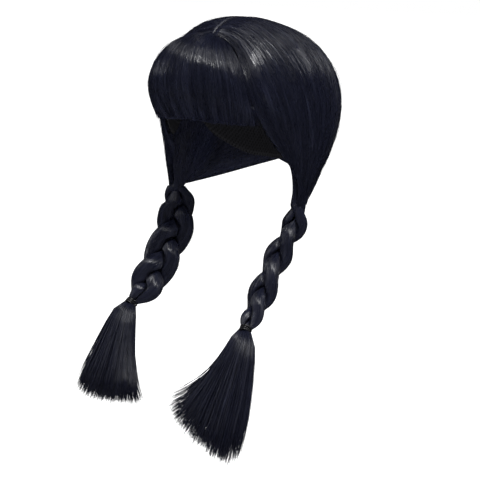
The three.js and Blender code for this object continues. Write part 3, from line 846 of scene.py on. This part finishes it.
def acrossPlait(way, twist):
    twist = math.radians(twist)
    depth = unit(np.cross(way, np.array([math.cos(twist), math.sin(twist), 0])))
    return unit(np.cross(depth, way)), depth


def strandMiddle(strand, along, laid):
    turn = 2 * math.pi * (along * plaitLength / laid["pitch"] + strand / plait["strands"] + laid["start"])
    return np.stack([laid["swing"] * np.sin(turn), plait["weave"] * np.sin(2 * turn)], -1), turn


# rings of one strand: a full lobe pressed flat where it meets the others
def strandRings(strand, laid, sides, relief):
    along = np.linspace(0, 1, plait["steps"] + 1)
    ending = smooth(1, plait["endFrom"], along)
    size = readTable(plaitTaper, 1, along)[:, None] * mix(1, laid["full"], ending)[:, None]
    way = unit(mix(np.array([0, 0, -1.0]), plaitWay, smooth(0, plait["uprightFor"], along)[:, None]))
    wide, depth = acrossPlait(way, laid["twist"])
    middle, turn = strandMiddle(strand, along, laid)
    angle = 2 * math.pi * np.arange(sides) / sides
    ray = np.stack([np.cos(angle), np.sin(angle)], -1)
    full = mix(plait["fullnessBelow"], 1, np.sin(turn) ** 2)[:, None]
    reach = full / np.hypot(ray[:, 0] / laid["halfWidth"], ray[:, 1] / plait["halfDepth"])[None]
    for other in range(plait["strands"]):
        if other == strand:
            continue
        apart = strandMiddle(other, along, laid)[0] - middle
        far = np.linalg.norm(apart, axis=1, keepdims=True)
        facing = (apart @ ray.T) / far
        room = far / 2 - plait["gap"] / (2 * size)
        reach = np.where(facing > 0, np.minimum(reach, room / np.sqrt(np.maximum(facing, 1e-6))), reach)
    offset = (middle[:, None] + ray[None] * (reach + relief)[..., None]) * size[..., None]
    line = plaitWalk + np.array(laid["aside"]) * (smooth(0, plait["asideBy"], along) * ending)[:, None]
    return line[:, None] + offset[..., :1] * wide[:, None] + offset[..., 1:] * depth[:, None]


# loose hairs that follow a strand on its outside
def addStrandHairs(rng, body, rings):
    count, sides = plait["looseHairs"], plait["sides"]
    shortest, longest = plait["looseRun"]
    share = np.linspace(0, 1, plait["looseSteps"])[None]
    ring = np.round(rng.integers(0, plait["steps"] - longest, (count, 1))
                    + share * rng.integers(shortest, longest, (count, 1))).astype(int)
    spot = rng.uniform(0, sides, (count, 1)) + rng.normal(0, plait["looseDrift"], (count, 1)) * share
    first = np.floor(spot).astype(int)
    lines = mix(rings[ring, first % sides], rings[ring, (first + 1) % sides], (spot - first)[..., None])
    centre = rings.mean(1)[ring]
    bow = np.sin(math.pi * share) * rng.gamma(*plait["looseLift"], (count, 1)) + plait["looseClear"]
    lines = lines + unit(lines - centre) * bow[..., None]
    lines[:, 1:-1] = (lines[:, :-2] + 2 * lines[:, 1:-1] + lines[:, 2:]) / 4
    body.hairs(rng, lines, rng.uniform(*plait["looseRadius"], (count, 1)) * hairTaper(share))


def makeStrand(side, strand, seed, mirrored):
    rng = np.random.default_rng(seed)
    sides = plait["sides"]
    along = np.linspace(0, 1, plait["steps"] + 1)[:, None]
    girth, length = np.broadcast_arrays(np.arange(sides)[None] / sides, along)
    ease = np.minimum(1, plait["seamEase"] * np.minimum(girth, 1 - girth))
    relief = sum(height * tufts(rng, girth, length, count, changes)
                 for height, count, changes in plait["relief"])
    rings = strandRings(strand, plaits[side], sides, relief * ease)
    across = np.arange(sides + 1) / sides * plait["flowWidth"]
    body = Bodies().loft(rings, across, along[:, 0] * plait["flowLength"])
    addStrandHairs(rng, body, rings)
    node = f"plait_{side}_strand_{strand + 1}"
    place(body.build(node + "_plaited", plaitHair, mirrored), "hair", node)


print("plaits")
for strand in range(plait["strands"]):
    makeStrand("left", strand, 31 + strand, False)
    makeStrand("right", strand, 41 + strand, True)

# a few turns of elastic and the knot where its ends meet
tie = {
    "wire": 1.1,
    "winds": 3,
    "radius": 5.2,
    "twist": -20,
    "steps": 56,
    "sides": 12,
    "seat": 0.9,
    "lean": 0.04,
    "uneven": 0.15,
    "flowWidth": 0.07,
    "flowLength": 0.4,
    "knotOut": 2.2,
    "knotLength": 5,
    "knotHalfWidth": 1.9,
    "knotEnd": 0.02,
    "knotFlow": (0.1, 0.06),
}
tieWay = plaitWay[-1]
tiePoint = plaitWalk[-1] + tieWay * clearance
tieLength = 2 * tie["wire"] * tie["winds"]
tieWide, tieDepth = acrossPlait(tieWay[None], tie["twist"])
tieWide, tieDepth = tieWide[0], tieDepth[0]


def makeTie(name, seed, mirrored):
    rng = np.random.default_rng(seed)
    body = Bodies()
    steps, sides, wire = tie["steps"], tie["sides"], tie["wire"]
    turn = np.linspace(0, 2 * math.pi, steps, endpoint=False)
    angle = 2 * math.pi * np.arange(sides) / sides
    for wind in range(tie["winds"]):
        middle = tiePoint + tieWay * wire * (2 * wind + 1)
        lean = rng.normal(0, tie["lean"], 2)
        spread = tie["radius"] + wire * tie["seat"] + tie["uneven"] * rng.normal(0, 1, 1)
        centre = (middle + spread * (np.cos(turn)[:, None] * tieWide + np.sin(turn)[:, None] * tieDepth)
                  + tieWay * (spread * (lean[0] * np.cos(turn) + lean[1] * np.sin(turn)))[:, None])
        outwards = unit(centre - middle)
        rings = (centre[:, None] + wire * (np.cos(angle)[None, :, None] * outwards[:, None]
                                           + np.sin(angle)[None, :, None] * tieWay))
        body.hoop(rings, tie["flowWidth"], tie["flowLength"])
    knot = tiePoint + tieWay * tieLength * 0.5 - tieWide * (tie["radius"] + tie["knotOut"])
    share = np.linspace(0, 1, sides)
    bump = knot + tieWay * ((share - 0.5) * tie["knotLength"])[:, None]
    fullness = np.sqrt(np.maximum(1 - (2 * share - 1) ** 2, tie["knotEnd"]))
    wideness = (tie["knotHalfWidth"] * fullness)[:, None, None]
    rings = bump[:, None] + wideness * (np.cos(angle)[None, :, None] * tieWide
                                        + np.sin(angle)[None, :, None] * tieDepth)
    flowWidth, flowLength = tie["knotFlow"]
    body.loft(rings, np.arange(sides + 1) / sides * flowWidth, share * flowLength)
    place(body.build(name + "_wound", tieElastic, mirrored), "tie", name)


print("ties")
makeTie("tie_left", 51, False)
makeTie("tie_right", 52, True)

tail = {
    "depth": 18,
    "hairs": 2300,
    "steps": 8,
    "wisps": 260,
    "wispSpread": 0.045,
    "wispUneven": 0.015,
    "hairUneven": 0.02,
    "brim": 1.06,
    "rounding": 0.03,
    "radius": (0.24, 0.46),
    "thinFrom": 0.7,
    "thinBy": 0.8,
    "neckFor": 9,
    "neckDepth": 3,
    "neckFill": (0.9, 0.8),
    "swell": (7, 4),
    "swellAside": 1.5,
    "astray": 1,
}
# the way each end falls: inwards, forward, down; and its brush from the outer edge to the inner one, with
# how far down and aside each tip lies and how much its hair curls outwards
tails = {
    "left": {"fall": [0.1, 0.5, 0.86], "tips": np.array([
        [-1, 129, -44, -0.25], [-0.8, 139, -38, -0.1], [-0.6, 142, -31, 0], [-0.3, 141, -21, 0.1],
        [0, 137, -5, 0.3], [0.3, 132, 13, 0.4], [0.5, 127, 26, 0.5], [0.7, 118, 38, 0.6],
        [0.88, 112, 48, 0.68], [1, 98, 55, 0.74]])},
    "right": {"fall": [0.07, 0.5, 0.86], "tips": np.array([
        [-1, 104, -38, -0.15], [-0.85, 114, -35, -0.1], [-0.5, 119, -22, 0], [0, 118, 0, 0.1],
        [0.5, 116, 22, 0.3], [0.85, 113, 36, 0.5], [1, 110, 42, 0.6]])},
}


# spots spread evenly over a disc, each hair near the spot of its wisp
def wispSpots(rng, count):
    wisps, goldenTurn = tail["wisps"], math.pi * (3 - math.sqrt(5))
    reach = np.sqrt((np.arange(wisps) + 0.5) / wisps)
    turn = np.arange(wisps) * goldenTurn
    which = rng.integers(0, wisps, count)
    spot = np.stack([reach * np.cos(turn), reach * np.sin(turn)], -1)[which]
    return which, spot + rng.normal(0, tail["wispSpread"], (count, 2))


def makeTail(side, seed, mirrored):
    rng = np.random.default_rng(seed)
    laid = tails[side]
    fall = unit(np.array(laid["fall"]) * [-1, -1, -1])
    facing = unit(np.cross(fall, np.array([1, 0, 0])))
    aside = np.cross(facing, fall)
    aside = aside * -np.sign(aside[0])  # towards the middle of the wig
    count, share = tail["hairs"], np.linspace(0, 1, tail["steps"])[None]
    # hairs gather in wisps, so the brush ends in many small points
    which, spot = wispSpots(rng, count)
    u, w = np.clip(spot[:, :1] * tail["brim"], -1, 1), spot[:, 1:]
    down, sideways, curl = (readTable(laid["tips"], k, u) for k in (1, 2, 3))
    longer = (1 + rng.normal(0, tail["wispUneven"], (tail["wisps"], 1))[which]
              + rng.normal(0, tail["hairUneven"], (count, 1)))
    down, sideways = down * longer * (1 - tail["rounding"] * w ** 2), sideways * longer
    neck = tie["radius"] - clearance
    fillWide, fillDeep = tail["neckFill"]
    start = (tiePoint + tieWay * rng.uniform(0, tail["neckDepth"], (count, 1))
             + np.clip(u, -fillWide, fillWide) * -neck * tieWide * np.sign(tieWide[0])
             + np.clip(w, -fillDeep, fillDeep) * neck * tieDepth)
    bent = share + curl * (share ** 3 - share)
    swell = 1 - np.exp(-share * down / tail["neckFor"])
    swellWide, swellDeep = tail["swell"]
    across = (u * swellWide - tail["swellAside"]) * swell * (1 - share) + sideways * bent
    deep = w * (swellDeep * swell * (1 - share) + tail["depth"] * share)
    leave = (tieWay - fall) * (tail["neckFor"] * swell * (1 - share) ** 2)[..., None]
    lines = (start[:, None] + fall * (share * down)[..., None] + aside * across[..., None]
             + facing * deep[..., None] + leave)
    lines = lines + rng.normal(0, tail["astray"], lines.shape) * (share * (1 - share))[..., None]
    thinned = 1 - tail["thinBy"] * smooth(tail["thinFrom"], 1, share)
    radii = rng.uniform(*tail["radius"], (count, 1)) * thinned
    node = f"tail_{side}"
    place(Bodies().hairs(rng, lines, radii).build(node + "_brushed", tailHair, mirrored), "hair", node)


print("brushed ends")
makeTail("left", 61, False)
makeTail("right", 62, True)

cap = {
    "frontSeam": 48,
    "columns": 150,
    "rows": 34,
    "hem": 7,
    "hemFade": 1.5,
    "hemRise": 0.35,
    "topFall": 0.05,
    "flowRound": 5.4,
    "flowDown": 1.8,
    "flowHem": 0.02,
    "frontReach": 1.02,
    "frontColumns": 90,
    "frontRows": 14,
    "frontLeast": 0.005,
    "frontFlow": (0.05, 2),
}
# the cap's cut edge: the turn from the front as a share of half a turn, and how far down the edge is
capEdge = np.array([[0, 0.47], [0.22, 0.56], [0.36, 0.93], [0.43, 1.13], [0.5, 0.98], [0.58, 0.96],
                    [0.68, 1.22], [0.84, 1.44], [1, 1.48]])


def capEdgeFall(turn):
    drop = readTable(capEdge, 1, np.abs((turn + math.pi) % (2 * math.pi) - math.pi) / math.pi)
    return np.where(drop < 1, np.arccos(1 - np.minimum(drop, 1)), math.pi / 2 + (drop - 1))


# where the seam over the hollow crosses each turn, or half a turn if it doesn't
def seamFall(turn, gap):
    facing = np.cos(turn)
    share = (cap["frontSeam"] + gap) / (hollow["front"] * np.maximum(facing, 1e-6))
    return np.where((facing > 0) & (share < 1), np.arcsin(np.minimum(share, 1)), math.pi)


def capShell(turn, low, high, rows):
    share = np.linspace(0, 1, rows)[:, None]
    fall = mix(low[None], high[None], share)
    fromEdge = (capEdgeFall(turn)[None] - fall) * hollow["dome"]
    wall = capWall + cap["hemRise"] * (1 - smooth(cap["hem"] - cap["hemFade"], cap["hem"], fromEdge))
    return hollowPoint(turn[None], fall, wall), hollowPoint(turn[None], fall, 0)


def makeCapCrown():
    turn = np.linspace(0, 2 * math.pi, cap["columns"], endpoint=False)
    low = np.full_like(turn, cap["topFall"])
    high = np.minimum(capEdgeFall(turn), seamFall(turn, -clearance / 2))
    outer, inner = capShell(turn, low, high, cap["rows"])
    rings = np.concatenate([outer, inner[::-1]])
    across = np.arange(cap["columns"] + 1) / cap["columns"] * cap["flowRound"]
    down = np.linspace(0, cap["flowDown"], cap["rows"])
    along = np.concatenate([down, down + cap["flowDown"] + cap["flowHem"]])
    crown = Bodies().loft(rings, across, along)
    place(crown.build("cap_crown_net", capNet), "cap", "cap_crown")


def makeCapFront():
    turn = np.linspace(-cap["frontReach"], cap["frontReach"], cap["frontColumns"])
    low, high = seamFall(turn, clearance / 2), capEdgeFall(turn)
    high = np.maximum(high, low + cap["frontLeast"])
    outer, inner = capShell(turn, low, high, cap["frontRows"])
    rings = np.concatenate([outer.transpose(1, 0, 2), inner.transpose(1, 0, 2)[:, ::-1]], 1)
    flowStep, flowLength = cap["frontFlow"]
    across = np.arange(rings.shape[1] + 1) * flowStep
    band = Bodies().loft(rings, across, np.linspace(0, flowLength, len(turn)))
    place(band.build("cap_front_net", capNet), "cap", "cap_front")


print("cap")
makeCapCrown()
makeCapFront()

partTape = {
    "sunk": 0.35,
    "edgeSunk": 0.3,
    "flatHalf": 0.5,
    "depth": 12,
    "steps": 90,
    "flow": (0.03, 3),
}
stitches = {
    "length": 2.6,
    "space": 8.5,
    "steps": 7,
    "sides": 6,
    "thread": 0.22,
    "ends": 0.06,
    "raised": 0.1,
    "bow": 0.35,
    "zigzag": 0.5,
}


def makeTape(start, inwards, at):
    half, sunk, depth = seamWidth / 2, partTape["sunk"], partTape["depth"]
    edge, flat = sunk + partTape["edgeSunk"], partTape["flatHalf"]
    corners = [(-1, depth), (-1, edge), (-flat, sunk), (flat, sunk), (1, edge), (1, depth)]
    rings = np.stack([start * [0, 1, 1] + [side * half, 0, 0] + inwards * down for side, down in corners], 1)
    flowStep, flowLength = partTape["flow"]
    body = Bodies().loft(rings, np.arange(len(corners) + 1) * flowStep, at * flowLength)
    place(body.build("parting_tape", tapeCloth), "parting_seam", "parting_seam")


def makeStitches(start, inwards, seed):
    line = start * [0, 1, 1] + inwards * (partTape["sunk"] - stitches["raised"])
    far = np.concatenate([[0], np.cumsum(np.linalg.norm(np.diff(line, axis=0), axis=1))])
    pitch = stitches["length"] + stitches["space"]
    count = int(far[-1] / pitch)
    share = np.linspace(0, 1, stitches["steps"])
    where = (np.arange(count)[:, None] + 0.5) * pitch + (share[None] - 0.5) * stitches["length"]
    lines = np.stack([np.interp(where, far, line[:, k]) for k in range(3)], -1)
    lines[..., 0] += (np.arange(count)[:, None] % 2 - 0.5) * stitches["zigzag"]
    nearest = np.round(np.interp(where, far, np.arange(len(far)))).astype(int)
    outwards = -inwards[np.clip(nearest, 0, len(inwards) - 1)]
    lines = lines + outwards * (stitches["bow"] * np.sin(math.pi * share))[None, :, None]
    thinned = np.sqrt(np.sin(math.pi * clamp(share, stitches["ends"], 1 - stitches["ends"])))
    radii = stitches["thread"] * thinned[None] * np.ones((count, 1))
    sewn = Bodies().hairs(np.random.default_rng(seed), lines, radii, sides=stitches["sides"])
    place(sewn.build("parting_stitches", stitchGlintThread), "parting_seam")


def makeParting(seed):
    at = np.linspace(0, 1, partTape["steps"] + 1)
    start = sidePoint(at, np.zeros_like(at))
    inwards = hollowMiddle - start
    inwards[:, 0] = 0
    inwards = unit(inwards)
    makeTape(start, inwards, at)
    makeStitches(start, inwards, seed)


print("parting")
makeParting(71)


# the direction of something that stands round the wig at these angles, in radians
def standing(azimuth, elevation):
    return Vector((math.sin(azimuth) * math.cos(elevation), -math.cos(azimuth) * math.cos(elevation),
                   math.sin(elevation)))


# camera at the photograph's viewing angle; focal and picture are in the photograph's pixels
view = {
    "azimuth": 33,
    "elevation": 15,
    "roll": 1,
    "stand": (0.67208, -1.0188, 0.08156),
    "focal": 1034.48,
    "picture": 480,
    "sensor": 36,
    "clip": (0.05, 50),
}
print("studio")
azimuth, elevation, roll = (math.radians(view[key]) for key in ("azimuth", "elevation", "roll"))
back = standing(azimuth, elevation)
right = Vector((math.cos(azimuth), math.sin(azimuth), 0))
up = back.cross(right)
rolledRight = math.cos(roll) * right + math.sin(roll) * up
rolledUp = -math.sin(roll) * right + math.cos(roll) * up
camera = bpy.data.objects.new("camera", bpy.data.cameras.new("camera"))
bpy.context.scene.collection.objects.link(camera)
turned = Matrix((rolledRight, rolledUp, back)).transposed().to_4x4()
camera.matrix_world = Matrix.Translation(view["stand"]) @ turned
camera.data.sensor_width = view["sensor"]
camera.data.lens = view["focal"] / view["picture"] * view["sensor"]
camera.data.clip_start, camera.data.clip_end = view["clip"]
bpy.context.scene.camera = camera

# plain pale floor and soft studio light
studio = {
    "floorLevel": -0.9,
    "floorSize": 40,
    "floorDarkest": (0.88, 0.88, 0.88, 1),
    "floorLightest": (0.9, 0.9, 0.9, 1),
    "floorMottle": 3,
    "floorGlow": 0.35,
    "white": (1, 1, 1, 1),
    "surround": 1.0,
    # each lamp: where it stands round the wig in degrees, how far, how wide and high, and its power
    "lamps": [
        {"name": "key_box", "azimuth": 42, "elevation": 60, "away": 2.2, "size": (0.7, 0.6), "power": 34},
        {"name": "top_box", "azimuth": 10, "elevation": 80, "away": 2.0, "size": (1.4, 1.0), "power": 18},
        {"name": "left_box", "azimuth": -62, "elevation": 18, "away": 2.4, "size": (0.6, 1.2), "power": 8},
        {"name": "rear_box", "azimuth": 148, "elevation": 34, "away": 2.4, "size": (0.8, 0.8), "power": 10},
    ],
    "aim": (0, 0, -0.08),
}
bpy.ops.mesh.primitive_plane_add(size=studio["floorSize"], location=(0, 0, studio["floorLevel"]))
floor = bpy.context.object
floor.name = "floor"
floorMatte, nodes, links, shader = newMaterial("floor_matte")
mottle = nodes.new("ShaderNodeTexNoise")
mottle.inputs["Scale"].default_value = studio["floorMottle"]
floorStops = [(0, studio["floorDarkest"]), (1, studio["floorLightest"])]
links.new(colourRamp(nodes, links, mottle.outputs["Fac"], floorStops), shader.inputs["Base Color"])
shader.inputs["Roughness"].default_value = 1
shader.inputs["Specular IOR Level"].default_value = 0
shader.inputs["Emission Color"].default_value = studio["white"]
shader.inputs["Emission Strength"].default_value = studio["floorGlow"]
floor.data.materials.append(floorMatte)
floor.visible_glossy = False

world = bpy.data.worlds.new("studio")
bpy.context.scene.world = world
world.use_nodes = True
world.node_tree.nodes["Background"].inputs["Color"].default_value = studio["white"]
world.node_tree.nodes["Background"].inputs["Strength"].default_value = studio["surround"]
world.cycles_visibility.glossy = False

aim = Vector(studio["aim"])
for lamp in studio["lamps"]:
    light = bpy.data.lights.new(lamp["name"], "AREA")
    light.shape = "RECTANGLE"
    light.size, light.size_y = lamp["size"]
    light.energy = lamp["power"]
    stand = bpy.data.objects.new(lamp["name"], light)
    way = standing(math.radians(lamp["azimuth"]), math.radians(lamp["elevation"]))
    stand.location = aim + way * lamp["away"]
    stand.rotation_euler = (-way).to_track_quat("-Z", "Y").to_euler()
    bpy.context.scene.collection.objects.link(stand)
bpy.context.scene.view_settings.view_transform = "Standard"
